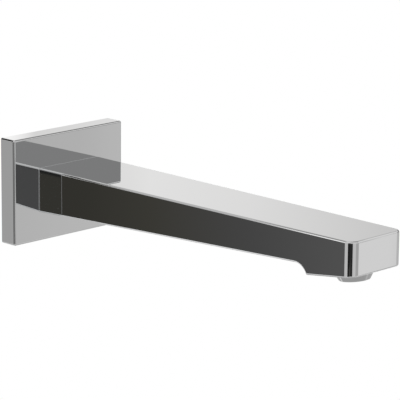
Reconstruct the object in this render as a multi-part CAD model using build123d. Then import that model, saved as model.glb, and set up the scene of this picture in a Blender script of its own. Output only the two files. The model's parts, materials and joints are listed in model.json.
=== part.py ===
from build123d import *

import os
from math import cos, hypot, radians, sin, sqrt, tan

# Wall-mounted bath spout, in millimetres.
# The origin is where the inlet's axis crosses the face of the wall. +X points right as one
# faces the wall, +Y into the wall and +Z up, so the spout stands out along -Y.
# Stations along the inlet's axis are given as distances out from the wall.

# Wall plate
plate_width = 75.0
plate_height = 55.0
plate_depth = 10.0
plate_front_wall = 3.0
plate_rim_wall = 4.0
plate_edge_round = 1.0

# Foam gasket let into the back of the plate's rim
gasket_width = 1.8
gasket_thickness = 1.5

# Spout: heights and depths are measured from the inlet's axis
projection = 220.0
rear_width = 41.6
tip_width = 36.0
rear_top = 10.75
tip_top = 10.0
rear_depth = 12.4
lip_depth = 5.4
casting_wall = 3.0
edge_round = 1.0
rear_round = 0.5

# End block with its leaning underside; lip_depth is the bar's underside carried on to the lip
block_length = 27.8
tip_depth = 6.9
outlet_lean = 7.25
cove_radius = 7.5
lip_round = 0.6
corner_radius = 4.7

# Socket in the spout's rear that slides on the nipple
socket_length = 30.0
socket_gap = 0.1
socket_lead = 0.6
bulkhead = 4.0
boss_wall = 1.8
boss_gap = 0.2

# Connection nipple with its G 1/2 thread
thread_radius = 20.955 / 2
thread_length = 13.0
thread_chamfer = 1.2
thread_runout = 1.5
runout_radius = 9.2
nipple_bore = 10.5
spigot_radius = 8.0
spigot_reach = 38.0
collar_flats = 27.0
collar_thickness = 3.1

# Seal in the spigot's groove
groove_width = 2.2
groove_depth = 1.6
groove_land = 3.2
seal_gap = 0.02

# Grub screw under the bar
grub_radius = 2.0
grub_station = 18.0
grub_recess = 0.5
grub_tip_chamfer = 0.6
grub_key_flats = 2.0
grub_key_depth = 2.0
thread_gap = 0.05

# Aerator: heights are measured from the block's underside, upwards into the block
aerator_setback = 14.15
aerator_thread_radius = 9.25
aerator_flange = 0.55
aerator_rim_radius = 7.3
aerator_collar_height = 4.4
aerator_rim_chamfer = 0.5
aerator_wall = 1.3
nozzle_wall = 1.1
air_gap = 0.6
insert_gap = 0.1
insert_seat = 1.2
nozzle_recess = 0.6
sleeve_height = 5.2
sleeve_wall = 0.8
sleeve_floor = 1.0
sleeve_lip = 0.5
grid_thickness = 1.4
grid_pitch = 1.7
grid_bar = 0.35
mesh_thickness = 0.4
mesh_pitch = 1.6
mesh_wire = 0.4
window_count = 6
window_width = 2.2
window_height = 1.8
channel_depth = 0.5
splitter_thickness = 1.2
jet_width = 0.8
jet_count = 8
outer_jet_ring = 5.2
inner_jet_ring = 2.7
strainer_thickness = 1.0
strainer_slot_width = 0.9
aerator_washer_thickness = 1.5
orifice_radius = 7.0
outlet_shoulder = 2.0

# Stations and places that follow from the sizes above
spout_length = projection - plate_depth
plate_inner = plate_depth - plate_front_wall
collar_front = thread_runout + collar_thickness
boss_end = collar_front + boss_gap
socket_radius = spigot_radius + socket_gap
boss_radius = socket_radius + boss_wall
bore_radius = nipple_bore / 2
chamber_start = plate_depth + socket_length
groove_radius = spigot_radius - groove_depth
seal_station = spigot_reach - groove_land - groove_width / 2

lip_station = projection - block_length
underside_slope = (rear_depth - lip_depth) / (lip_station - plate_depth)
top_slope = (rear_top - tip_top) / spout_length
side_slope = (rear_width - tip_width) / 2 / spout_length
outlet_slope = tan(radians(outlet_lean))

housing_top = sleeve_height - insert_seat + splitter_thickness + strainer_thickness
outlet_socket = housing_top + aerator_washer_thickness
outlet_floor = outlet_socket + outlet_shoulder
insert_radius = aerator_thread_radius - thread_gap - aerator_wall - insert_gap
nozzle_radius = aerator_rim_radius - nozzle_wall
nozzle_outer = nozzle_radius - air_gap
nozzle_inner = nozzle_outer - sleeve_wall
nozzle_end = aerator_collar_height - nozzle_recess
disc_radius = nozzle_inner - insert_gap


def top_at(station):
    """Height of the spout's top face at a station."""
    return rear_top - top_slope * (station - plate_depth)


def underside_at(station):
    """Height of the bar's underside at a station."""
    return underside_slope * (station - plate_depth) - rear_depth


def block_underside_at(station):
    """Height of the end block's leaning underside at a station."""
    return -tip_depth - outlet_slope * (projection - station)


def half_width_at(station):
    """Half the spout's width at a station."""
    return rear_width / 2 - side_slope * (station - plate_depth)


# The cove is tangent to the bar's underside and ends on the block's underside, at the lip.
lip_drop = (underside_at(lip_station) - block_underside_at(lip_station)) / hypot(1, underside_slope)
cove_run = sqrt(cove_radius**2 - (cove_radius - lip_drop) ** 2)
cove_station = lip_station - (cove_run + lip_drop * underside_slope) / hypot(1, underside_slope)

aerator_station = projection - aerator_setback
outlet_plane = Plane(
    origin=(0, -aerator_station, block_underside_at(aerator_station)),
    x_dir=(1, 0, 0),
    z_dir=(0, sin(radians(outlet_lean)), cos(radians(outlet_lean))),
)
inlet_turn = Rot(-90, 0, 0)


def ring(inner, outer, low, high):
    """A plain ring about Z between two heights."""
    return Pos(0, 0, low) * extrude(Circle(outer) - Circle(inner), high - low)


def rod(radius, low, high):
    """A plain cylinder about Z between two heights."""
    return Pos(0, 0, low) * extrude(Circle(radius), high - low)


def turned(points):
    """A piece turned about Z from (radius, height) points."""
    return revolve(Plane.XZ * make_face(Polyline(*points, close=True)), Axis.Z)


def hexagon(flats, low, high):
    """A hexagonal prism about Z between two heights."""
    outline = RegularPolygon(flats / 2, 6, major_radius=False)
    return Pos(0, 0, low) * extrude(outline, high - low)


def side_prism(points, arc=None):
    """A (station, height) outline carried across the whole width; arc closes it, or a straight line."""
    if arc is None:
        outline = Polyline(*points, close=True)
    else:
        outline = Curve() + [Polyline(*points), arc]
    return extrude(Plane.YZ * make_face(outline), rear_width, both=True)


def plan_prism(inset, start, end, front_radius):
    """The tapering plan between two stations, its sides moved in by inset, carried over the whole height."""
    near = half_width_at(start) - inset
    far = half_width_at(end) - inset
    plan = make_face(Polyline((-near, -start), (-far, -end), (far, -end), (near, -start), close=True))
    if front_radius:
        plan = fillet(plan.vertices().group_by(Axis.Y)[0], front_radius)
    return extrude(plan, plate_height, both=True)


def spout_outside():
    """The bar, cove and end block with all their outer edges rounded."""
    cove_start = (-cove_station, underside_at(cove_station))
    lip = (-lip_station, block_underside_at(lip_station))
    profile = [
        lip,
        (-projection, -tip_depth),
        (-projection, tip_top),
        (-plate_depth, rear_top),
        (-plate_depth, -rear_depth),
        cove_start,
    ]
    cove = TangentArc(cove_start, lip, tangent=(-1, underside_slope))
    body = side_prism(profile, cove) & plan_prism(0, plate_depth, projection, corner_radius)

    def is_long_edge(edge):
        """True for the outer edges, not the rear ones, the tangent lines or the lip."""
        middle = edge.position_at(0.5)
        ends = edge.position_at(1) - edge.position_at(0)
        at_rear = middle.Y > -plate_depth - edge_round
        upright = abs(ends.Z) > hypot(ends.X, ends.Y)
        across_underside = abs(middle.X) < edge_round and middle.Y > corner_radius - projection
        return not (at_rear or upright or across_underside)

    body = fillet(body.edges().filter_by(is_long_edge), edge_round)
    lip_edge = body.edges().filter_by(Axis.X).sort_by_distance((0, *lip))[0]
    body = fillet(lip_edge, lip_round)
    rear_face = body.faces().sort_by(Axis.Y)[-1]
    return fillet(rear_face.edges(), rear_round)


def water_chamber():
    """The hollow of the bar: its walls follow the outside, and its floor rises over the outlet."""
    front = projection - casting_wall
    floor_rise = outlet_floor / cos(radians(outlet_lean))
    rear_gap = block_underside_at(chamber_start) + floor_rise - underside_at(chamber_start) - casting_wall
    step = chamber_start - rear_gap / (outlet_slope - underside_slope)
    profile = [
        (-chamber_start, top_at(chamber_start) - casting_wall),
        (-front, top_at(front) - casting_wall),
        (-front, block_underside_at(front) + floor_rise),
        (-step, underside_at(step) + casting_wall),
        (-chamber_start, underside_at(chamber_start) + casting_wall),
    ]
    inner_corner = max(corner_radius - casting_wall, edge_round)
    return side_prism(profile) & plan_prism(casting_wall, chamber_start, front, inner_corner)


def rear_pockets():
    """Two pockets cored out of the rear face, one on each side of the socket's boss."""
    end = chamber_start - bulkhead
    profile = [
        (-plate_depth, top_at(plate_depth) - casting_wall),
        (-end, top_at(end) - casting_wall),
        (-end, underside_at(end) + casting_wall),
        (-plate_depth, underside_at(plate_depth) + casting_wall),
    ]
    hollow = side_prism(profile) & plan_prism(casting_wall, plate_depth, end, 0)
    return hollow - inlet_turn * rod(boss_radius, -chamber_start, 0)


def make_spout_body():
    """Cast body: bar and block, rear boss and socket, water chamber, outlet and grub screw hole."""
    boss = rod(boss_radius, -chamber_start, -boss_end)
    socket = rod(socket_radius, -chamber_start, -boss_end)
    lead = turned([
        (0, -boss_end - socket_lead),
        (socket_radius, -boss_end - socket_lead),
        (socket_radius + socket_lead, -boss_end),
        (0, -boss_end),
    ])
    outlet = rod(aerator_thread_radius, -aerator_collar_height, outlet_socket)
    outlet += rod(orifice_radius, outlet_socket, outlet_floor + outlet_shoulder)
    grub_hole = Pos(0, -grub_station, 0) * rod(grub_radius, -rear_depth, 0)

    rear_boss = inlet_turn * boss & Pos(0, -boss_end, 0) * Box(
        rear_width, plate_depth - boss_end, plate_height, align=(Align.CENTER, Align.MAX, Align.CENTER)
    )
    body = spout_outside() - water_chamber() - rear_pockets()
    body += rear_boss
    return body - inlet_turn * (socket + lead) - outlet_plane * outlet - grub_hole


def make_wall_plate():
    """Oblong cover: round front edges, hollow back, a rebate for the gasket and a hole for the spout's boss."""
    def slab(inset, low, high):
        """A block of the plate's outline moved in by inset, between two distances from the wall."""
        outline = Rectangle(plate_width - 2 * inset, plate_height - 2 * inset)
        return inlet_turn * Pos(0, 0, -high) * extrude(outline, high - low)

    plate = slab(0, 0, plate_depth)
    back_edges = plate.faces().sort_by(Axis.Y)[-1].edges()
    plate = fillet([edge for edge in plate.edges() if edge not in back_edges], plate_edge_round)
    plate -= slab(plate_rim_wall, 0, plate_inner)
    plate -= slab(plate_rim_wall - gasket_width, 0, gasket_thickness)
    return plate - inlet_turn * rod(boss_radius + boss_gap, -plate_depth, -plate_inner)


def make_wall_gasket():
    """Foam frame that fills the rebate in the plate's rim, flush with the wall."""
    land = plate_rim_wall - gasket_width
    frame = Rectangle(plate_width - 2 * land, plate_height - 2 * land)
    frame -= Rectangle(plate_width - 2 * plate_rim_wall, plate_height - 2 * plate_rim_wall)
    return inlet_turn * Pos(0, 0, -gasket_thickness) * extrude(frame, gasket_thickness)


def make_connection_nipple():
    """Turned brass nipple: thread with its run-out, hexagon collar, and a spigot with a seal groove."""
    body = turned([
        (bore_radius, -spigot_reach),
        (spigot_radius, -spigot_reach),
        (spigot_radius, -seal_station - groove_width / 2),
        (groove_radius, -seal_station - groove_width / 2),
        (groove_radius, -seal_station + groove_width / 2),
        (spigot_radius, -seal_station + groove_width / 2),
        (spigot_radius, -thread_runout),
        (runout_radius, -thread_runout),
        (runout_radius, 0),
        (thread_radius, 0),
        (thread_radius, thread_length - thread_chamfer),
        (thread_radius - thread_chamfer, thread_length),
        (bore_radius, thread_length),
    ])
    collar = hexagon(collar_flats, -collar_front, -thread_runout) - rod(bore_radius, -collar_front, -thread_runout)
    return inlet_turn * (body + collar)


def make_nipple_seal():
    """Rubber ring of square section between the spigot's groove and the spout's socket."""
    inner = groove_radius + seal_gap
    outer = socket_radius - seal_gap
    low = -seal_station - (outer - inner) / 2
    return inlet_turn * ring(inner, outer, low, low + outer - inner)


def make_grub_screw():
    """Hexagon socket set screw whose tip stands on the spigot."""
    tip = -spigot_radius
    foot = underside_at(grub_station) + grub_recess
    radius = grub_radius - thread_gap
    screw = rod(radius, foot, tip)
    screw = chamfer(screw.edges().sort_by(Axis.Z)[-1], grub_tip_chamfer)
    screw -= hexagon(grub_key_flats, foot, foot + grub_key_depth)
    return Pos(0, -grub_station, 0) * screw


def make_aerator_housing():
    """Threaded ring with the tapering collar that shows, and the ledge that carries the insert."""
    thread = aerator_thread_radius - thread_gap
    bore = insert_radius + insert_gap
    flange = aerator_thread_radius + aerator_flange
    collar_taper = (flange - aerator_rim_radius) / aerator_collar_height
    return turned([
        (bore, housing_top),
        (thread, housing_top),
        (thread, 0),
        (flange, 0),
        (aerator_rim_radius + collar_taper * aerator_rim_chamfer, aerator_rim_chamfer - aerator_collar_height),
        (aerator_rim_radius - aerator_rim_chamfer, -aerator_collar_height),
        (nozzle_radius, -aerator_collar_height),
        (nozzle_radius, -insert_seat),
        (bore, -insert_seat),
    ])


def make_aerator_washer():
    """Flat rubber ring between the housing's top edge and the shoulder in the block."""
    outer = aerator_thread_radius - insert_gap
    return ring(orifice_radius, outer, housing_top, outlet_socket)


def make_mixing_sleeve():
    """Insert's tube: a wide part on the housing's ledge, and a nozzle that holds the discs.

    Air comes up round the nozzle, out through channels under the floor, and in through the windows.
    """
    low = -insert_seat
    high = low + sleeve_height
    inner = insert_radius - sleeve_wall
    sleeve = turned([
        (nozzle_inner, -nozzle_end + sleeve_lip),
        (nozzle_inner - sleeve_lip, -nozzle_end + sleeve_lip),
        (nozzle_inner - sleeve_lip, -nozzle_end),
        (nozzle_outer, -nozzle_end),
        (nozzle_outer, low),
        (insert_radius, low),
        (insert_radius, high),
        (inner, high),
        (inner, low + sleeve_floor),
        (nozzle_inner, low + sleeve_floor),
    ])
    outwards = (Align.MIN, Align.CENTER, Align.MIN)
    window = Box(insert_radius - inner, window_width, sleeve_floor + window_height, align=outwards)
    channel = Box(insert_radius - nozzle_outer, window_width, channel_depth, align=outwards)
    sleeve -= PolarLocations(inner, window_count) * (Pos(0, 0, low) * window)
    return sleeve - PolarLocations(nozzle_outer, window_count) * (Pos(0, 0, low) * channel)


def make_disc(low, thickness, openings):
    """A disc inside the nozzle, from a height up, with a pattern of openings cut through it."""
    return Pos(0, 0, low) * extrude(Circle(disc_radius) - openings, thickness)


def inside_disc(locations, reach):
    """The locations whose opening, of a given reach, stays within the disc's rim."""
    limit = disc_radius - grid_bar
    return [place for place in locations if place.position.length + reach < limit]


def make_outlet_grid(low):
    """Plastic honeycomb at the mouth."""
    cell = RegularPolygon((grid_pitch - grid_bar) / 2, 6, major_radius=False)
    count = 2 * int(disc_radius / grid_pitch) + 1
    places = inside_disc(HexLocations(grid_pitch / 2, count, count, major_radius=False), grid_pitch / 2)
    return make_disc(low, grid_thickness, [place * cell for place in places])


def make_mesh_screen(low):
    """Wire screen, as a disc with square openings."""
    opening = Rectangle(mesh_pitch - mesh_wire, mesh_pitch - mesh_wire)
    count = 2 * int(disc_radius / mesh_pitch) + 1
    places = inside_disc(GridLocations(mesh_pitch, mesh_pitch, count, count), mesh_pitch / 2)
    return make_disc(low, mesh_thickness, [place * opening for place in places])


def make_jet_splitter(low):
    """Disc with a ring of jets and half as many inside it."""
    jet = Rectangle(jet_width, jet_width)
    jets = [place * jet for place in PolarLocations(outer_jet_ring, jet_count)]
    jets += [place * jet for place in PolarLocations(inner_jet_ring, jet_count // 2)]
    return Pos(0, 0, low) * extrude(Circle(insert_radius) - jets, splitter_thickness)


def make_inlet_strainer(low):
    """Disc under the washer, with a slot over each line of jets."""
    slot = Rectangle(outer_jet_ring - inner_jet_ring + 2 * jet_width, strainer_slot_width)
    slots = [place * slot for place in PolarLocations((outer_jet_ring + inner_jet_ring) / 2, jet_count)]
    return Pos(0, 0, low) * extrude(Circle(insert_radius) - slots, strainer_thickness)


def make_aerator():
    """All pieces of the aerator, stacked from the mouth up, on the outlet's axis."""
    grid_low = -nozzle_end + sleeve_lip
    mesh_low = grid_low + grid_thickness
    splitter_low = sleeve_height - insert_seat
    strainer_low = splitter_low + splitter_thickness
    return {
        "aerator_housing": make_aerator_housing(),
        "aerator_washer": make_aerator_washer(),
        "mixing_sleeve": make_mixing_sleeve(),
        "outlet_grid": make_outlet_grid(grid_low),
        "mesh_screen": make_mesh_screen(mesh_low),
        "jet_splitter": make_jet_splitter(splitter_low),
        "inlet_strainer": make_inlet_strainer(strainer_low),
    }


pieces = {
    "spout_body": make_spout_body(),
    "wall_plate": make_wall_plate(),
    "wall_gasket": make_wall_gasket(),
    "connection_nipple": make_connection_nipple(),
    "nipple_seal": make_nipple_seal(),
    "grub_screw": make_grub_screw(),
}
for name, piece in make_aerator().items():
    pieces[name] = outlet_plane * piece

os.makedirs("parts", exist_ok=True)
for name, piece in pieces.items():
    piece.label = name
    export_step(piece, f"parts/{name}.step")
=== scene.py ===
"""Looks of a wall-mounted bath spout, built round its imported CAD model.

Lengths are metres in the model's frame: +X right as one faces the wall, +Y into the wall, +Z up.
"""

import json
import logging
from collections.abc import Mapping, Sequence
from dataclasses import dataclass
from enum import Enum
from typing import Any, NamedTuple

import bpy
import numpy as np
from mathutils import Matrix


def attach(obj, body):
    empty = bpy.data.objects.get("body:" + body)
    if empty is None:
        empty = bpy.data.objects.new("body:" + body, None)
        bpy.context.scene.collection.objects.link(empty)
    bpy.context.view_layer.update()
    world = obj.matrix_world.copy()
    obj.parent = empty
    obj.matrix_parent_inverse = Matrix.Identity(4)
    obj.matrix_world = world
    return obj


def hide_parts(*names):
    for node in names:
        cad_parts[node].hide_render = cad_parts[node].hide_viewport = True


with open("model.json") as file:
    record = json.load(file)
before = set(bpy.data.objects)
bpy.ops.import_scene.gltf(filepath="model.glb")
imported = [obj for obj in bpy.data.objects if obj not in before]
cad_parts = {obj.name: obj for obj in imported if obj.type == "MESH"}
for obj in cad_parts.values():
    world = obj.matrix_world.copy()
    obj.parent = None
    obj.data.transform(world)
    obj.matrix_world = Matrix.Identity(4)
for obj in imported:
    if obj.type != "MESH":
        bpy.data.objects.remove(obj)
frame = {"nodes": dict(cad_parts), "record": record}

MM = 0.001
WHITE = (1.0, 1.0, 1.0, 1.0)
Array = np.ndarray
Colour = tuple[float, float, float]
log = logging.getLogger("bath_spout")

# Length of one band of a Wave node at scale 1
WAVE_BAND = 0.314

# Reach of a joined seam, weight of large faces in normals, and how near weights count as equal
SEAM_REACH = 0.0005 * MM
FACE_WEIGHT = 100
WEIGHT_TIE = 0.001


class Wire:
    """An output socket of a node tree, on which Python's operators add Math nodes."""

    def __init__(self, graph: "Graph", socket: bpy.types.NodeSocket) -> None:
        """Keeps the socket with the graph that it belongs to."""
        self.graph = graph
        self.socket = socket

    def math(self, operation: str, first: Any, second: Any) -> "Wire":
        """Adds one Math node.

        Args:
            operation: the Math node's operation, such as MULTIPLY.
            first: a wire or a number for the first socket.
            second: a wire or a number for the second socket.

        Returns:
            The node's value.
        """
        return self.graph.add("ShaderNodeMath", {"operation": operation}, {0: first, 1: second})

    def __add__(self, other: Any) -> "Wire":
        """This value plus another."""
        return self.math("ADD", self, other)

    def __radd__(self, other: Any) -> "Wire":
        """Another value plus this one."""
        return self.math("ADD", other, self)

    def __sub__(self, other: Any) -> "Wire":
        """This value less another."""
        return self.math("SUBTRACT", self, other)

    def __rsub__(self, other: Any) -> "Wire":
        """Another value less this one."""
        return self.math("SUBTRACT", other, self)

    def __mul__(self, other: Any) -> "Wire":
        """This value times another."""
        return self.math("MULTIPLY", self, other)

    def __rmul__(self, other: Any) -> "Wire":
        """Another value times this one."""
        return self.math("MULTIPLY", other, self)

    def __or__(self, other: Any) -> "Wire":
        """The larger of two values, which joins two masks."""
        return self.math("MAXIMUM", self, other)

    def __ror__(self, other: Any) -> "Wire":
        """The larger of two values, with this one second."""
        return self.math("MAXIMUM", other, self)

    def __abs__(self) -> "Wire":
        """This value without its sign."""
        return self.math("ABSOLUTE", self, 0.0)

    def __lt__(self, other: Any) -> "Wire":
        """1 where this value is below another, and 0 elsewhere."""
        return self.math("LESS_THAN", self, other)

    def __gt__(self, other: Any) -> "Wire":
        """1 where this value is above another, and 0 elsewhere."""
        return self.math("GREATER_THAN", self, other)


class Graph:
    """A node tree that is emptied and then filled node by node."""

    def __init__(self, tree: bpy.types.NodeTree) -> None:
        """Empties the tree."""
        self.tree = tree
        tree.nodes.clear()

    def add(
        self,
        kind: str,
        settings: Mapping[str, Any] | None = None,
        inputs: Mapping[str | int, Any] | None = None,
        output: str | int = 0,
    ) -> Wire | None:
        """Adds a node: first its settings, then the values or links of its sockets.

        Args:
            kind: the node's type.
            settings: attributes of the node; stops holds a colour ramp's (place, colour) pairs.
            inputs: a wire or a plain value for each named or numbered socket.
            output: the output socket that is handed back.

        Returns:
            The chosen output, or None for a node that has no outputs.
        """
        node = self.tree.nodes.new(kind)
        for name, value in (settings or {}).items():
            if name == "stops":
                self._set_stops(node.color_ramp.elements, value)
            else:
                setattr(node, name, value)
        for name, value in (inputs or {}).items():
            if isinstance(value, Wire):
                self.tree.links.new(value.socket, node.inputs[name])
            else:
                node.inputs[name].default_value = value
        if not node.outputs:
            return None
        return Wire(self, node.outputs[output])

    @staticmethod
    def _set_stops(elements: Any, stops: Sequence[tuple[float, Colour]]) -> None:
        """Gives a colour ramp its stops, from the lowest to the highest."""
        while len(elements) < len(stops):
            elements.new(1.0)
        for element, (place, colour) in zip(elements, stops):
            element.position = place
            element.color = (*colour, 1.0)

    def place(self) -> Wire:
        """Object coordinates, which are metres in the model's frame."""
        return self.add("ShaderNodeTexCoord", output="Object")

    def noise(self, size: float, detail: float = 2.0) -> Wire:
        """Soft noise between 0 and 1.

        Args:
            size: the length of one patch, in metres.
            detail: how many finer layers lie on it.

        Returns:
            The noise's value.
        """
        inputs = {"Vector": self.place(), "Scale": 1.0 / size, "Detail": detail}
        return self.add("ShaderNodeTexNoise", None, inputs)

    def blend(self, mask: Wire, low: Wire | Colour, high: Colour) -> Wire:
        """A colour that goes from low to high as the mask goes from 0 to 1."""
        start = low if isinstance(low, Wire) else (*low, 1.0)
        inputs = {"Factor": mask, 6: start, 7: (*high, 1.0)}
        return self.add("ShaderNodeMix", {"data_type": "RGBA"}, inputs, output=2)

    def bump(self, height: Wire, depth: float) -> Wire:
        """Small relief for a Normal socket.

        Args:
            height: the relief, between 0 and 1.
            depth: its depth in metres.

        Returns:
            The bent normal.
        """
        return self.add("ShaderNodeBump", None, {"Strength": 1.0, "Distance": depth, "Height": height})

    def surface(self, inputs: Mapping[str, Any]) -> None:
        """Ends a material in one Principled surface."""
        shader = self.add("ShaderNodeBsdfPrincipled", None, inputs)
        self.add("ShaderNodeOutputMaterial", None, {"Surface": shader})


def shade(colour: Colour, factor: float) -> Colour:
    """A colour made lighter or darker, each channel kept below 1."""
    return tuple(min(channel * factor, 1.0) for channel in colour)


@dataclass(frozen=True)
class Finish:
    """A finish on one of the record's material slots, with the colour that the record gives it."""

    slot: str

    def colour(self) -> Colour:
        """The slot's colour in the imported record."""
        rows = [row for row in frame["record"]["materials"] if row["slot"] == self.slot]
        return tuple(rows[0]["base_color"])

    def material(self) -> bpy.types.Material:
        """The finish's material, made once and then shared."""
        made = bpy.data.materials.get(self.slot + "_look")
        if made is None:
            made = bpy.data.materials.new(self.slot + "_look")
            made.use_nodes = True
            self.paint(Graph(made.node_tree))
        return made

    def paint(self, graph: Graph) -> None:
        """Fills the material's node tree."""
        raise NotImplementedError


@dataclass(frozen=True)
class Chrome(Finish):
    """Polished chrome plate: a clear mirror whose gloss wanders a little where it has been wiped."""

    gloss: float = 0.012
    wiped: float = 0.030
    speckle: float = 0.006
    tint: float = 0.01
    patch: float = 22 * MM
    cloud: float = 66 * MM
    grain: float = 0.35 * MM

    def paint(self, graph: Graph) -> None:
        """Ends in the polished plating."""
        base, rough = self.plating(graph)
        graph.surface({"Base Color": base, "Metallic": 1.0, "Roughness": rough})

    def plating(self, graph: Graph) -> tuple[Wire, Wire]:
        """The gloss, roughened by wiped patches and a fine speckle; the colour shifts a little in clouds.

        Args:
            graph: the material's node tree.

        Returns:
            The colour and the roughness.
        """
        patches = graph.noise(self.patch)
        clouds = graph.noise(self.cloud, detail=1.0)
        fine = graph.noise(self.grain, detail=3.0)
        base = graph.blend(clouds, shade(self.colour(), 1 - self.tint), shade(self.colour(), 1 + self.tint))
        rough = self.gloss + self.wiped * (patches * patches) + self.speckle * fine
        return base, rough


@dataclass(frozen=True)
class PlateChrome(Chrome):
    """Polished chrome outside, and the dull, thinly plated metal of the plate's hollow back."""

    half_width: float = 35.4 * MM
    half_height: float = 25.4 * MM
    depth: float = 8.5 * MM
    dull: float = 0.40
    dark: float = 0.62

    def paint(self, graph: Graph) -> None:
        """Within the hollow's width, height and depth the colour darkens and the gloss goes."""
        base, rough = self.plating(graph)
        across, inward, upward = (
            graph.add("ShaderNodeSeparateXYZ", None, {0: graph.place()}, output=axis) for axis in range(3)
        )
        hollow = (abs(across) < self.half_width) * (abs(upward) < self.half_height) * (inward > -self.depth)
        graph.surface({
            "Base Color": graph.blend(hollow, base, shade(self.colour(), self.dark)),
            "Metallic": 1.0,
            "Roughness": rough + hollow * self.dull,
        })


@dataclass(frozen=True)
class TurnedBrass(Finish):
    """Brass straight from the lathe, with tool rings across the inlet's axis and patches of tarnish."""

    feed: float = 0.22 * MM
    wobble: float = 0.4
    relief: float = 0.006 * MM
    tarnish: float = 6 * MM
    brown: float = 0.72
    gloss: float = 0.20
    dull: float = 0.16
    ring_dull: float = 0.05

    def paint(self, graph: Graph) -> None:
        """The rings are a sine wave along Y; tarnish browns the colour and dulls the gloss."""
        settings = {"wave_type": "BANDS", "bands_direction": "Y"}
        inputs = {"Vector": graph.place(), "Scale": WAVE_BAND / self.feed, "Distortion": self.wobble}
        rings = graph.add("ShaderNodeTexWave", settings, inputs, output="Fac")
        stain = graph.noise(self.tarnish, detail=4.0)
        base = graph.blend(stain, self.colour(), shade(self.colour(), self.brown))
        graph.surface({
            "Base Color": base,
            "Metallic": 1.0,
            "Roughness": self.gloss + self.dull * stain + self.ring_dull * rings,
            "Normal": graph.bump(rings, self.relief),
        })


@dataclass(frozen=True)
class Steel(Finish):
    """Drawn stainless steel with fine scratches."""

    scratch: float = 0.15 * MM
    dark: float = 0.9
    light: float = 1.08
    gloss: float = 0.22
    dull: float = 0.14

    def paint(self, graph: Graph) -> None:
        """Roughness and colour follow one fine noise."""
        fine = graph.noise(self.scratch, detail=4.0)
        base = graph.blend(fine, shade(self.colour(), self.dark), shade(self.colour(), self.light))
        graph.surface({"Base Color": base, "Metallic": 1.0, "Roughness": self.gloss + self.dull * fine})


@dataclass(frozen=True)
class Rubber(Finish):
    """Black moulded rubber with a dull bloom in patches."""

    bloom: float = 3 * MM
    light: float = 2.2
    gloss: float = 0.48
    dull: float = 0.25
    skin: float = 0.12 * MM
    relief: float = 0.01 * MM

    def paint(self, graph: Graph) -> None:
        """Bloom lifts the colour to a grey; a fine noise gives the moulded skin."""
        haze = graph.noise(self.bloom, detail=3.0)
        skin = graph.noise(self.skin)
        base = graph.blend(haze, self.colour(), shade(self.colour(), self.light))
        graph.surface({
            "Base Color": base,
            "Roughness": self.gloss + self.dull * haze,
            "Normal": graph.bump(skin, self.relief),
        })


@dataclass(frozen=True)
class Foam(Finish):
    """Closed-cell foam: a skin of small round cells."""

    cell: float = 0.45 * MM
    light: float = 1.5
    dark: float = 0.6
    gloss: float = 0.78
    dull: float = 0.15
    relief: float = 0.06 * MM

    def paint(self, graph: Graph) -> None:
        """The distance to the nearest cell's middle gives both the relief and the darker cell walls."""
        inputs = {"Vector": graph.place(), "Scale": 1.0 / self.cell}
        cells = graph.add("ShaderNodeTexVoronoi", None, inputs, output="Distance")
        base = graph.blend(cells, shade(self.colour(), self.light), shade(self.colour(), self.dark))
        graph.surface({
            "Base Color": base,
            "Roughness": self.gloss + self.dull * cells,
            "Normal": graph.bump(1.0 - cells, self.relief),
        })


@dataclass(frozen=True)
class MouldedPlastic(Finish):
    """Injection-moulded acetal: waxy, with faint flow marks."""

    flow: float = 2.5 * MM
    dark: float = 0.94
    light: float = 1.04
    gloss: float = 0.34
    dull: float = 0.12
    skin: float = 0.2 * MM
    relief: float = 0.004 * MM

    def paint(self, graph: Graph) -> None:
        """Flow marks vary the colour by a few hundredths; the mould's skin is a fine noise."""
        marks = graph.noise(self.flow, detail=3.0)
        skin = graph.noise(self.skin)
        base = graph.blend(marks, shade(self.colour(), self.dark), shade(self.colour(), self.light))
        graph.surface({
            "Base Color": base,
            "Roughness": self.gloss + self.dull * marks,
            "Normal": graph.bump(skin, self.relief),
        })


class Finishes(Enum):
    """The finish of each material slot."""

    BODY = Chrome("body_chrome")
    PLATE = PlateChrome("plate_chrome")
    AERATOR = Chrome("aerator_chrome", wiped=0.05)
    NIPPLE = TurnedBrass("nipple_brass")
    SEAL = Rubber("seal_rubber")
    GASKET = Foam("gasket_foam")
    SCREW = Steel("screw_steel")
    MESH = Steel("mesh_steel")
    INSERT = MouldedPlastic("insert_plastic")
    STRAINER = MouldedPlastic("strainer_plastic")
    GRID = MouldedPlastic("grid_plastic")


def turns(count: int) -> Array:
    """Angles of one full turn in even steps, in radians."""
    return np.arange(count) * 2 * np.pi / count


def grid_faces(rows: int, columns: int, loop_rows: bool) -> Array:
    """Quads of a grid of points that is closed round its columns.

    Args:
        rows: number of rows.
        columns: number of points round each row.
        loop_rows: whether the last row joins the first.

    Returns:
        Four point numbers for each face.
    """
    bands = rows if loop_rows else rows - 1
    row, column = np.meshgrid(np.arange(bands), np.arange(columns), indexing="ij")
    next_row = (row + 1) % rows
    next_column = (column + 1) % columns
    corners = (
        row * columns + column,
        row * columns + next_column,
        next_row * columns + next_column,
        next_row * columns + column,
    )
    return np.stack([corner.ravel() for corner in corners], axis=1)


def make_object(name: str, points: Array, faces: Array) -> bpy.types.Object:
    """Puts points and faces into a new mesh object with smooth faces.

    Args:
        name: the object's name.
        points: an array whose last axis is x, y, z.
        faces: four point numbers for each face.

    Returns:
        The new object, at the origin.
    """
    mesh = bpy.data.meshes.new(name)
    mesh.from_pydata(points.reshape(-1, 3).tolist(), [], faces.tolist())
    mesh.polygons.foreach_set("use_smooth", np.ones(len(faces), bool))
    mesh.validate()
    made = bpy.data.objects.new(name, mesh)
    bpy.context.scene.collection.objects.link(made)
    return made


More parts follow.
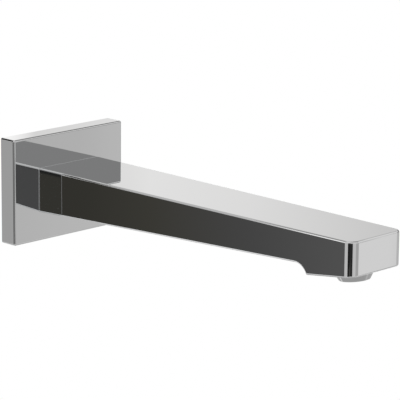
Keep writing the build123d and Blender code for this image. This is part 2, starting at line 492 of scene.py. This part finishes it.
def soften(piece: bpy.types.Object, crease: float) -> None:
    """Shades a piece smoothly between creases, with flat faces kept flat.

    Args:
        piece: the object, a CAD node or a new piece.
        crease: the angle in degrees from which an edge stays sharp.
    """
    piece.data.polygons.foreach_set("use_smooth", np.ones(len(piece.data.polygons), bool))
    weld = piece.modifiers.new("joined_seams", "WELD")
    weld.merge_threshold = SEAM_REACH
    split = piece.modifiers.new("creases", "EDGE_SPLIT")
    split.split_angle = np.radians(crease)
    normals = piece.modifiers.new("flat_faces", "WEIGHTED_NORMAL")
    normals.mode = "FACE_AREA_WITH_ANGLE"
    normals.weight = FACE_WEIGHT
    normals.thresh = WEIGHT_TIE


def rounded(points: Sequence[tuple[float, float]], radii: Sequence[float], steps: int = 8) -> Array:
    """A closed outline whose corners are arcs.

    At each corner the arc's centre lies on the bisector, at the radius over the sine of half the
    corner's angle, and the arc runs between the feet of the perpendiculars on the two sides.

    Args:
        points: the corners, in order.
        radii: each corner's radius; a corner of radius 0 stays sharp.
        steps: points on each arc.

    Returns:
        The outline's points, one per row.
    """
    corners = np.array(points)
    before = np.roll(corners, 1, axis=0) - corners
    after = np.roll(corners, -1, axis=0) - corners
    before /= np.linalg.norm(before, axis=1, keepdims=True)
    after /= np.linalg.norm(after, axis=1, keepdims=True)
    half = np.arccos(np.clip((before * after).sum(1), -1, 1)) / 2
    outline = []
    for corner, back, ahead, angle, radius in zip(corners, before, after, half, radii):
        if radius == 0:
            outline.append(corner[None])
            continue
        bisector = (back + ahead) / np.linalg.norm(back + ahead)
        centre = corner + bisector * radius / np.sin(angle)
        start = corner + back * radius / np.tan(angle) - centre
        end = corner + ahead * radius / np.tan(angle) - centre
        sweep = np.linspace(0, 1, steps)[:, None]
        turn = np.pi - 2 * angle
        arc = (np.sin((1 - sweep) * turn) * start + np.sin(sweep * turn) * end) / np.sin(turn)
        outline.append(centre + arc)
    return np.concatenate(outline)


def thread_rows(low: float, high: float, crest: float, pitch: float, rows_per_turn: int = 12) -> Array:
    """Rows of (place along the axis, radius) for a threaded stretch, a fixed number to each turn."""
    count = int((high - low) / pitch * rows_per_turn)
    along = np.linspace(low, high, count)
    return np.stack([along, np.full(count, crest)], axis=1)


def helix_depth(along: Array, turn: Array, pitch: float) -> Array:
    """Depth of a round-crested screw thread, from 0 at the crest to 1 at the root.

    Half of one less the cosine of the distance along the axis, in pitches, less the turn.

    Args:
        along: distance along the axis.
        turn: angle round the axis, in radians.
        pitch: distance between neighbouring crests.

    Returns:
        The depth at each point.
    """
    return 0.5 - 0.5 * np.cos(2 * np.pi * along / pitch - turn)


def turned(name: str, along: Array, radius: Array, turn: Array, pose: Array) -> bpy.types.Object:
    """A closed turned surface: each row of radii stands round the axis at its place along it.

    A point lies at the radius times the cosine and sine of the turn on the pose's first two axes, and
    at its place along the third.

    Args:
        name: the object's name.
        along: place of each row along the axis; the last row joins the first.
        radius: radius at each row and turn.
        turn: the angles round the axis.
        pose: four columns: the two cross axes, the axis, and the origin.

    Returns:
        The new object.
    """
    heights = np.broadcast_to(along[:, None], radius.shape)
    local = np.stack([radius * np.cos(turn), radius * np.sin(turn), heights], axis=-1)
    points = local @ pose[:, :3].T + pose[:, 3]
    return make_object(name, points, grid_faces(len(along), len(turn), True))


@dataclass
class Assembly:
    """A group of pieces that are dressed together; each new piece rides on the one body."""

    crease: float = 32.0

    def keep(self, node: str, finish: Finishes) -> None:
        """Shows a CAD node with its seams joined and a finish of its own.

        Args:
            node: the CAD node's name.
            finish: its finish.
        """
        piece = frame["nodes"][node]
        soften(piece, self.crease)
        piece.data.materials.clear()
        piece.data.materials.append(finish.value.material())
        log.info("%s: CAD node with %s", node, finish.value.slot)

    def stand_in(self, piece: bpy.types.Object, node: str, finish: Finishes) -> None:
        """Shows a new piece in place of a CAD node.

        Args:
            piece: the new object.
            node: the CAD node that it stands for.
            finish: its finish.
        """
        soften(piece, self.crease)
        piece.data.materials.append(finish.value.material())
        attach(piece, "root")
        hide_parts(node)
        log.info("%s: %d faces for node %s", piece.name, len(piece.data.polygons), node)


@dataclass
class Spout(Assembly):
    """The cast bar with its end block, and the grub screw that clamps it."""

    crease: float = 30.0

    def build(self) -> None:
        """Dresses both CAD nodes."""
        self.keep("spout_body", Finishes.BODY)
        self.keep("grub_screw", Finishes.SCREW)


@dataclass
class Plate(Assembly):
    """The cover plate and the foam frame in its back."""

    def build(self) -> None:
        """Dresses both CAD nodes."""
        self.keep("wall_plate", Finishes.PLATE)
        self.keep("wall_gasket", Finishes.GASKET)


@dataclass
class Inlet(Assembly):
    """The nipple with its half-inch pipe thread, and its seal."""

    crease: float = 40.0
    columns: int = 96
    bore: float = 5.25 * MM
    spigot: float = 8.0 * MM
    spigot_end: float = -38.0 * MM
    groove: tuple[float, float] = (-34.8 * MM, -32.6 * MM)
    groove_radius: float = 6.4 * MM
    collar: tuple[float, float] = (-4.6 * MM, -1.5 * MM)
    flats: float = 13.5 * MM
    collar_bevel: float = 0.5 * MM
    runout: float = 9.2 * MM
    thread: float = 10.4775 * MM
    thread_end: float = 13.0 * MM
    thread_chamfer: float = 1.2 * MM
    pitch: float = 25.4 / 14 * MM
    thread_depth: float = 1.162 * MM

    def build(self) -> None:
        """Makes the nipple and dresses the seal."""
        self.stand_in(self.nipple(), "connection_nipple", Finishes.NIPPLE)
        self.keep("nipple_seal", Finishes.SEAL)

    def nipple(self) -> bpy.types.Object:
        """A turned surface whose radius is a function of the place along the axis and the turn.

        On the collar's rows the radius is the flats' distance over the cosine of the angle from the
        nearest flat, cut by the bevel. On the thread's rows it is the crest less the thread's depth
        times the helix, cut by the end chamfer. Elsewhere it is the outline's own radius.

        Returns:
            The nipple.
        """
        front, back = self.collar
        half_flat = np.pi / 6
        corner = self.flats / np.cos(half_flat)
        spigot = np.array([
            (self.spigot_end, self.bore),
            (self.spigot_end, self.spigot),
            (self.groove[0], self.spigot),
            (self.groove[0], self.groove_radius),
            (self.groove[1], self.groove_radius),
            (self.groove[1], self.spigot),
            (front, self.spigot),
        ])
        collar = np.array([
            (front, self.flats),
            (front + self.collar_bevel, corner),
            (back - self.collar_bevel, corner),
            (back, self.flats),
        ])
        neck = np.array([(back, self.runout), (0, self.runout)])
        thread = thread_rows(0, self.thread_end, self.thread, self.pitch)
        end = np.array([(self.thread_end, self.bore)])
        parts = {"spigot": spigot, "collar": collar, "neck": neck, "thread": thread, "end": end}
        outline = np.concatenate(list(parts.values()))
        region = np.repeat(list(parts), [len(part) for part in parts.values()])[:, None]
        turn = turns(self.columns)
        along, limit = outline[:, :1], outline[:, 1:]
        from_flat = (turn + half_flat) % (2 * half_flat) - half_flat
        hexagon = np.minimum(limit, self.flats / np.cos(from_flat))
        chamfer = self.thread + self.thread_end - self.thread_chamfer - along
        screw = np.minimum(limit - self.thread_depth * helix_depth(along, turn, self.pitch), chamfer)
        plain = np.broadcast_to(limit, hexagon.shape)
        radius = np.select([region == "collar", region == "thread"], [hexagon, screw], plain)
        return turned("threaded_nipple", along[:, 0], radius, turn, self.pose())

    def pose(self) -> Array:
        """Columns of the inlet's frame: the cross axes Z and X, the axis Y, and its origin."""
        return np.array([(0.0, 1.0, 0.0, 0.0), (0.0, 0.0, 1.0, 0.0), (1.0, 0.0, 0.0, 0.0)])


@dataclass
class Aerator(Assembly):
    """The collar in the block's underside and the insert that it carries."""

    crease: float = 35.0
    columns: int = 96
    station: float = -205.85 * MM
    level: float = -8.70 * MM
    lean: float = 7.25
    top: float = 6.2 * MM
    bore: float = 7.9 * MM
    thread: float = 9.2 * MM
    pitch: float = 1.0 * MM
    thread_depth: float = 0.55 * MM
    flange: float = 9.8 * MM
    collar_height: float = 4.4 * MM
    rim: float = 7.3 * MM
    rim_round: float = 0.65 * MM
    nozzle_round: float = 0.25 * MM
    edge_round: float = 0.1 * MM
    nozzle: float = 6.2 * MM
    ledge: float = -1.2 * MM
    screen_radius: float = 4.7 * MM
    screen_span: tuple[float, float] = (-1.9 * MM, -1.5 * MM)
    wire_pitch: float = 0.75 * MM
    wire_radius: float = 0.09 * MM
    hem_radius: float = 0.2 * MM
    wire_steps: int = 61
    wire_sides: int = 8

    def build(self) -> None:
        """Makes the collar and the wire screen, and dresses the other pieces."""
        self.stand_in(self.collar(), "aerator_housing", Finishes.AERATOR)
        self.stand_in(self.screen(), "mesh_screen", Finishes.MESH)
        self.keep("aerator_washer", Finishes.SEAL)
        self.keep("inlet_strainer", Finishes.STRAINER)
        self.keep("jet_splitter", Finishes.INSERT)
        self.keep("mixing_sleeve", Finishes.INSERT)
        self.keep("outlet_grid", Finishes.GRID)

    def pose(self) -> Array:
        """Columns of the outlet's frame: across, inward along the leaning underside, up, and its origin."""
        lean = np.radians(self.lean)
        across = (1.0, 0.0, 0.0)
        along = (0.0, np.cos(lean), -np.sin(lean))
        up = (0.0, np.sin(lean), np.cos(lean))
        return np.stack([across, along, up, (0.0, self.station, self.level)], axis=1)

    def collar(self) -> bpy.types.Object:
        """The threaded ring and its tapering collar with a rounded rim, turned about the outlet's axis.

        On the thread's rows the radius is the crest less the thread's depth times the helix.

        Returns:
            The collar.
        """
        low = -self.collar_height
        corners = [
            (0, self.flange),
            (low, self.rim),
            (low, self.nozzle),
            (self.ledge, self.nozzle),
            (self.ledge, self.bore),
            (self.top, self.bore),
            (self.top, self.thread),
            (0, self.thread),
        ]
        edge = self.edge_round
        radii = [edge, self.rim_round, self.nozzle_round, 0, 0, edge, edge, 0]
        plain = rounded(corners, radii)[:-1]
        thread = thread_rows(0, self.top - edge, self.thread, self.pitch)[::-1]
        outline = np.concatenate([plain, thread])[::-1]
        turn = turns(self.columns)
        radius = np.repeat(outline[:, 1:], self.columns, axis=1)
        count = len(thread)
        radius[:count] -= self.thread_depth * helix_depth(outline[:count, :1], turn, self.pitch)
        return turned("threaded_collar", outline[:, 0], radius, turn, self.pose())

    def screen(self) -> bpy.types.Object:
        """A plain weave of wires in a round hem.

        Wires lie a pitch apart, both ways. Each is a tube about a chord of the disc, whose middle line
        rises and falls as a sine with a wavelength of two pitches, against its neighbours and against
        the wires that it crosses. The hem is a torus.

        Returns:
            The screen.
        """
        middle = sum(self.screen_span) / 2
        hem = self.screen_radius - self.hem_radius
        count = int(hem / self.wire_pitch)
        offset = (np.arange(2 * count) - count + 0.5) * self.wire_pitch
        share = np.linspace(-1, 1, self.wire_steps)
        along = np.sqrt(hem**2 - offset**2)[:, None] * share
        sign = np.where(np.arange(2 * count) % 2, 1.0, -1.0)[:, None]
        rise = self.wire_radius * sign * np.sin(np.pi * along / self.wire_pitch)
        turn = turns(self.wire_sides)
        tube = self.wire_radius * np.where(np.abs(share) < 1, 1.0, 0.0)[:, None]
        aside = offset[:, None, None] + tube * np.cos(turn)
        aside = np.broadcast_to(aside, (2 * count, len(share), len(turn)))
        height = rise[:, :, None] + tube * np.sin(turn)
        run = np.broadcast_to(along[:, :, None], height.shape)
        warp = np.stack([aside, run, middle + height], axis=-1)
        weft = np.stack([run, aside, middle - height], axis=-1)
        sweep = turns(self.columns)[:, None]
        ring = hem + self.hem_radius * np.cos(turn)
        level = np.broadcast_to(middle + self.hem_radius * np.sin(turn), (self.columns, len(turn)))
        torus = np.stack([np.cos(sweep) * ring, np.sin(sweep) * ring, level], axis=-1)
        wire_points = len(share) * len(turn)
        wire_count = len(warp) + len(weft)
        tube_faces = grid_faces(len(share), len(turn), False)[:, ::-1]
        wires = (tube_faces + np.arange(wire_count)[:, None, None] * wire_points).reshape(-1, 4)
        ring_faces = grid_faces(self.columns, len(turn), True)[:, ::-1] + wire_count * wire_points
        local = np.concatenate([warp.reshape(-1, 3), weft.reshape(-1, 3), torus.reshape(-1, 3)])
        pose = self.pose()
        points = local @ pose[:, :3].T + pose[:, 3]
        return make_object("woven_screen", points, np.concatenate([wires, ring_faces]))


class Side(Enum):
    """Where a glowing sheet that paints reflections stands: the axis it faces along, its sign, the axis of
    its tones, its other axis.
    """

    LEFT = (0, -1, 1, 2)
    RIGHT = (0, 1, 1, 2)
    FRONT = (1, -1, 0, 2)
    BACK = (1, 1, 0, 2)
    ABOVE = (2, 1, 1, 0)
    BELOW = (2, -1, 0, 1)


# Red and blue of the white that the glowing sheets paint into reflections, against chrome's slight coolness,
# and what warmth changes in them
CARD_RED = 1.012
CARD_BLUE = 0.988
WARM_RED = 0.03
WARM_BLUE = 0.15


class Tone(NamedTuple):
    """Brightness of painted reflection at one place along a glowing sheet, warmed a little where warmth is
    above 0.
    """

    at: float
    level: float
    warmth: float = 0.0

    def colour(self) -> Colour:
        """The tone with more red and less blue, against chrome's slight coolness and for the warmth."""
        red = CARD_RED + WARM_RED * self.warmth
        blue = CARD_BLUE - WARM_BLUE * self.warmth
        return (self.level * red, self.level, self.level * blue)


@dataclass(frozen=True)
class Card:
    """A flat glowing sheet, no lamp, that only mirrors see: it paints the reflections in the chrome, with
    tones that change along its length.
    """

    name: str
    side: Side
    distance: float
    span: tuple[float, float]
    tones: tuple[Tone, ...]

    def build(self) -> bpy.types.Object:
        """Makes the sheet and its glowing material.

        Returns:
            The card.
        """
        axis, sign, along, across = self.side.value
        low, high = self.tones[0].at, self.tones[-1].at
        points = np.empty((4, 3))
        points[:, axis] = sign * self.distance
        points[:, along] = (low, high, high, low)
        points[:, across] = np.repeat(self.span, 2)
        card = make_object(self.name, points, np.array([[0, 1, 2, 3]]))
        card.data.materials.append(self._material(along))
        # Hidden from the camera, from diffuse light and from shadows, the sheet only paints reflections.
        card.visible_camera = False
        card.visible_diffuse = False
        card.visible_shadow = False
        return card

    def _material(self, along: int) -> bpy.types.Material:
        """Emission whose colour follows the tones along one axis.

        Args:
            along: the axis of the tones, 0 for X or 1 for Y.

        Returns:
            The card's material.
        """
        made = bpy.data.materials.new(self.name)
        made.use_nodes = True
        graph = Graph(made.node_tree)
        low, high = self.tones[0].at, self.tones[-1].at
        split = graph.add("ShaderNodeSeparateXYZ", None, {0: graph.place()}, output=along)
        share = (split - low) * (1.0 / (high - low))
        stops = [((tone.at - low) / (high - low), tone.colour()) for tone in self.tones]
        colour = graph.add("ShaderNodeValToRGB", {"stops": stops}, {"Fac": share})
        glow = graph.add("ShaderNodeEmission", None, {"Color": colour, "Strength": 1.0})
        graph.add("ShaderNodeOutputMaterial", None, {"Surface": glow})
        return made


# Distances of the glowing sheets that paint reflections: left, right, back and below; in front; overhead
WALL = 0.40
FRONT_WALL = 0.60
ROOF = 0.90

# Painted reflection tones that several glowing sheets on one side share
LEFT_DARK = (Tone(-1.20, 0.034), Tone(-0.62, 0.034))
LEFT_SIDE = (
    Tone(-0.259, 0.015), Tone(-0.22, 0.28), Tone(0.0, 0.28), Tone(0.027, 0.090), Tone(0.104, 0.090),
    Tone(0.139, 0.080), Tone(0.184, 0.066), Tone(0.280, 0.046, 1.0), Tone(0.342, 0.036, 1.0),
    Tone(0.385, 0.034, 1.0), Tone(0.395, 0.38), Tone(0.60, 0.38),
)
RIGHT_FRONT = (Tone(-0.80, 0.40), Tone(-0.590, 0.40), Tone(-0.584, 0.72), Tone(-0.545, 0.72))
RIGHT_BACK = (
    Tone(-0.30, 0.50), Tone(0.05, 0.42), Tone(0.08, 0.09), Tone(0.38, 0.04), Tone(0.40, 0.38),
    Tone(0.60, 0.38),
)
# Glowing sheets whose tones paint the bright, grey and dark strips of reflection in the chrome. edge_flag is
# a dark sheet just behind and above the plate, and it paints a dark line on the plate's top edge.
# corner_light is a bright sheet just left of the spout's end, and it paints a bright strip on its corner.
# The sheets below paint the floor as mirrors see it, greyer under the spout as painted shade.
CARDS = (
    Card("left_low", Side.LEFT, WALL, (-0.26, -0.1225), LEFT_DARK + (
        Tone(-0.505, 0.022), Tone(-0.497, 0.077), Tone(-0.445, 0.077), Tone(-0.435, 0.043, 1.0),
        Tone(-0.385, 0.043, 1.0), Tone(-0.375, 0.015),
    ) + LEFT_SIDE),
    Card("left_middle", Side.LEFT, WALL, (-0.1225, -0.117), LEFT_DARK + (
        Tone(-0.45, 0.022), Tone(-0.42, 0.043, 1.0), Tone(-0.385, 0.043, 1.0), Tone(-0.375, 0.015),
    ) + LEFT_SIDE),
    Card("left_high", Side.LEFT, WALL, (-0.117, 0.06), LEFT_DARK + (
        Tone(-0.47, 0.022), Tone(-0.36, 0.015),
    ) + LEFT_SIDE),
    Card("corner_light", Side.LEFT, 0.117, (-0.075, 0.02), (Tone(-0.227, 0.54), Tone(-0.154, 0.54))),
    Card("left_upper", Side.LEFT, WALL, (0.06, 0.23), (
        Tone(-0.90, 0.52), Tone(-0.48, 0.55), Tone(-0.46, 0.20), Tone(-0.28, 0.20), Tone(-0.26, 0.57),
        Tone(0.07, 0.60), Tone(0.10, 1.00), Tone(0.14, 1.00), Tone(0.17, 0.50), Tone(0.325, 0.50),
        Tone(0.34, 0.90), Tone(0.40, 0.90),
    )),
    Card("left_top", Side.LEFT, WALL, (0.23, 0.40), (
        Tone(-0.90, 0.52), Tone(-0.57, 0.54), Tone(-0.55, 0.20), Tone(-0.38, 0.20), Tone(-0.36, 0.56),
        Tone(0.12, 0.60), Tone(0.15, 1.00), Tone(0.19, 1.00), Tone(0.23, 0.50), Tone(0.40, 0.50),
    )),
    Card("left_crown", Side.LEFT, WALL, (0.40, 0.90), (
        Tone(-0.90, 0.52), Tone(0.22, 0.60), Tone(0.26, 1.00), Tone(0.30, 1.00), Tone(0.345, 0.50),
        Tone(0.40, 0.50),
    )),
    Card("front_panel", Side.FRONT, FRONT_WALL, (-0.26, 0.06), (
        Tone(-0.398, 0.022), Tone(-0.226, 0.022), Tone(-0.220, 0.55), Tone(0.03, 0.58),
        Tone(0.06, 0.40), Tone(0.398, 0.40),
    )),
    Card("right_low", Side.RIGHT, WALL, (-0.26, -0.13), RIGHT_FRONT + (
        Tone(-0.515, 0.51), Tone(-0.40, 0.555),
    ) + RIGHT_BACK),
    Card("right_panel", Side.RIGHT, WALL, (-0.13, 0.03), RIGHT_FRONT + (
        Tone(-0.515, 0.495), Tone(-0.44, 0.504), Tone(-0.42, 0.517), Tone(-0.41, 0.530), Tone(-0.395, 0.542),
    ) + RIGHT_BACK),
    Card("right_middle", Side.RIGHT, WALL, (0.03, 0.20), (
        Tone(-0.60, 0.60), Tone(-0.53, 0.60), Tone(-0.52, 0.255), Tone(0.06, 0.255),
    )),
    Card("right_upper", Side.RIGHT, WALL, (0.21, 0.385), (
        Tone(-0.60, 0.50), Tone(-0.57, 0.74), Tone(-0.08, 0.74), Tone(-0.06, 0.36), Tone(0.08, 0.36),
        Tone(0.12, 0.50), Tone(0.15, 0.50),
    )),
    Card("right_high", Side.RIGHT, WALL, (0.385, 0.90), (
        Tone(-0.60, 0.40), Tone(-0.08, 0.36), Tone(-0.05, 0.10), Tone(0.15, 0.10), Tone(0.18, 0.40),
        Tone(0.40, 0.40),
    )),
    Card("back_panel", Side.BACK, WALL, (0.06, 0.30), (
        Tone(0.30, 1.10), Tone(0.320, 0.96), Tone(0.330, 0.86), Tone(0.339, 0.735), Tone(0.364, 0.755),
        Tone(0.404, 0.787), Tone(0.437, 0.81), Tone(0.458, 0.84), Tone(0.572, 0.790), Tone(0.684, 0.695),
        Tone(0.745, 0.638), Tone(0.85, 0.57),
    )),
    Card("back_upper", Side.BACK, WALL, (0.30, 0.90), (Tone(0.299, 0.45), Tone(0.85, 0.45))),
    Card("back_left", Side.BACK, WALL, (0.06, 0.66), (Tone(-0.40, 0.52), Tone(0.299, 0.52))),
    Card("back_left_high", Side.BACK, WALL, (0.66, 0.90), (Tone(-0.40, 0.28), Tone(0.299, 0.28))),
    Card("edge_flag", Side.BACK, 0.06, (0.045, 0.11), (Tone(-0.13, 0.02), Tone(-0.02, 0.02))),
    Card("hood", Side.ABOVE, ROOF, (-0.80, 0.80), (
        Tone(-0.90, 0.36), Tone(-0.40, 0.46), Tone(-0.05, 0.78), Tone(0.10, 0.84), Tone(0.28, 0.58),
        Tone(0.70, 0.52),
    )),
    Card("front_upper", Side.FRONT, FRONT_WALL, (0.06, 0.90), (
        Tone(-0.398, 0.46), Tone(-0.16, 0.64), Tone(0.398, 0.62),
    )),
    Card("back_low", Side.BACK, WALL, (-0.39, 0.06), (
        Tone(-0.33, 0.30), Tone(-0.10, 0.46), Tone(0.05, 0.66), Tone(0.20, 0.50), Tone(0.398, 0.36),
    )),
    Card("floor_flag", Side.BELOW, WALL, (-0.60, 0.14), (
        Tone(-0.32, 0.42), Tone(-0.10, 0.40), Tone(0.30, 0.42), Tone(0.36, 0.55), Tone(0.44, 0.55),
    )),
    Card("floor_middle", Side.BELOW, WALL, (0.14, 0.31), (
        Tone(-0.32, 0.80), Tone(0.00, 0.80), Tone(0.04, 0.42), Tone(0.30, 0.42), Tone(0.36, 0.55),
        Tone(0.44, 0.55),
    )),
    Card("floor_rear", Side.BELOW, WALL, (0.31, 0.40), (Tone(-0.32, 0.50), Tone(0.44, 0.55))),
    Card("floor_side", Side.BELOW, WALL, (-0.60, -0.20), (Tone(0.44, 0.45), Tone(0.70, 0.45))),
)


@dataclass
class Studio:
    """Camera, floor, lamp, glowing sheets that paint the chrome's reflections, and the white surroundings.
    """

    azimuth: float = 45.422
    elevation: float = 13.4005
    roll: float = 0.4977
    distance: float = 1.27063
    aside: float = 0.07485
    above: float = -0.01073
    lens: float = 219.68
    sensor: float = 36.0
    clip_end: float = 20.0
    floor_level: float = -0.45
    floor_radius: float = 0.9
    floor_rings: tuple[float, ...] = (0.001, 0.5, 1.0)
    floor_columns: int = 96
    floor_forward: float = 0.1
    floor_albedo: float = 0.82
    floor_glow: float = 0.65
    lamp_place: tuple[float, float, float] = (-0.3, -0.4, 1.4)
    lamp_size: float = 1.2
    lamp_watts: float = 9.0
    sky: float = 0.55
    cards: tuple[Card, ...] = CARDS

    def build(self) -> None:
        """Builds the whole set."""
        self.surroundings()
        self.floor()
        self.lamp()
        for card in self.cards:
            card.build()
        self.camera()

    def camera(self) -> None:
        """Sets the camera at the photograph's place.

        It looks along F, at the azimuth to the right of +Y and the elevation downwards. R and U are
        its right and up, turned by the roll. Its place is -distance F + aside R + above U.
        """
        turn, tilt, roll = np.radians((self.azimuth, self.elevation, self.roll))
        ahead = np.array((np.sin(turn) * np.cos(tilt), np.cos(turn) * np.cos(tilt), -np.sin(tilt)))
        level = np.array((np.cos(turn), -np.sin(turn), 0.0))
        upright = np.cross(level, ahead)
        right = level * np.cos(roll) + upright * np.sin(roll)
        up = upright * np.cos(roll) - level * np.sin(roll)
        data = bpy.data.cameras.new("photo_camera")
        data.lens = self.lens
        data.sensor_width = self.sensor
        data.clip_end = self.clip_end
        made = bpy.data.objects.new("photo_camera", data)
        bpy.context.scene.collection.objects.link(made)
        pose = np.identity(4)
        pose[:3, :3] = np.stack([right, up, -ahead], axis=1)
        pose[:3, 3] = -self.distance * ahead + self.aside * right + self.above * up
        made.matrix_world = Matrix(pose.tolist())
        bpy.context.scene.camera = made

    def surroundings(self) -> None:
        """White for the camera and for mirrors, and dimmer for what it lights."""
        world = bpy.data.worlds.new("white_surroundings")
        bpy.context.scene.world = world
        world.use_nodes = True
        graph = Graph(world.node_tree)
        strength = self.seen_directly(graph) * (1 - self.sky) + self.sky
        glow = graph.add("ShaderNodeBackground", None, {"Color": WHITE, "Strength": strength})
        graph.add("ShaderNodeOutputWorld", None, {"Surface": glow})

    @staticmethod
    def seen_directly(graph: Graph) -> Wire:
        """1 for rays from the camera, from mirrors and through glass, and 0 for others."""
        camera = graph.add("ShaderNodeLightPath", output="Is Camera Ray")
        mirror = graph.add("ShaderNodeLightPath", output="Is Glossy Ray")
        glass = graph.add("ShaderNodeLightPath", output="Is Transmission Ray")
        return camera | mirror | glass

    def floor(self) -> None:
        """A pale round floor well below the spout: rings of points about one middle, the first tiny.

        What is seen directly is mostly white, and the rest is a plain surface that keeps the shadow.
        From below it is clear, so that the spout's underside can be looked at.
        """
        turn = turns(self.floor_columns)
        radius = np.array(self.floor_rings)[:, None] * self.floor_radius
        across = radius * np.cos(turn)
        inward = radius * np.sin(turn) - self.floor_forward
        points = np.stack([across, inward, np.full_like(across, self.floor_level)], axis=-1)
        floor = make_object("pale_floor", points, grid_faces(len(radius), len(turn), False)[:, ::-1])
        made = bpy.data.materials.new("pale_floor")
        made.use_nodes = True
        graph = Graph(made.node_tree)
        tone = (self.floor_albedo, self.floor_albedo, self.floor_albedo, 1.0)
        plain = graph.add("ShaderNodeBsdfDiffuse", None, {"Color": tone})
        glow = graph.add("ShaderNodeEmission", None, {"Color": WHITE, "Strength": 1.0})
        share = self.floor_glow * self.seen_directly(graph)
        both = graph.add("ShaderNodeMixShader", None, {0: share, 1: plain, 2: glow})
        below = graph.add("ShaderNodeNewGeometry", output="Backfacing")
        clear = graph.add("ShaderNodeBsdfTransparent")
        sheet = graph.add("ShaderNodeMixShader", None, {0: below, 1: both, 2: clear})
        graph.add("ShaderNodeOutputMaterial", None, {"Surface": sheet})
        floor.data.materials.append(made)

    def lamp(self) -> None:
        """One large soft lamp overhead, which mirrors don't show."""
        data = bpy.data.lights.new("soft_lamp", "AREA")
        data.size = self.lamp_size
        data.energy = self.lamp_watts
        lamp = bpy.data.objects.new("soft_lamp", data)
        lamp.location = self.lamp_place
        lamp.visible_glossy = False
        bpy.context.scene.collection.objects.link(lamp)


def main() -> None:
    """Builds each sub-assembly and the studio."""
    logging.basicConfig(level=logging.INFO, format="%(message)s")
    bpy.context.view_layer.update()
    for assembly in (Spout(), Plate(), Inlet(), Aerator()):
        assembly.build()
    Studio().build()
    bpy.context.scene.view_settings.view_transform = "Standard"


if __name__ == "__main__":
    main()
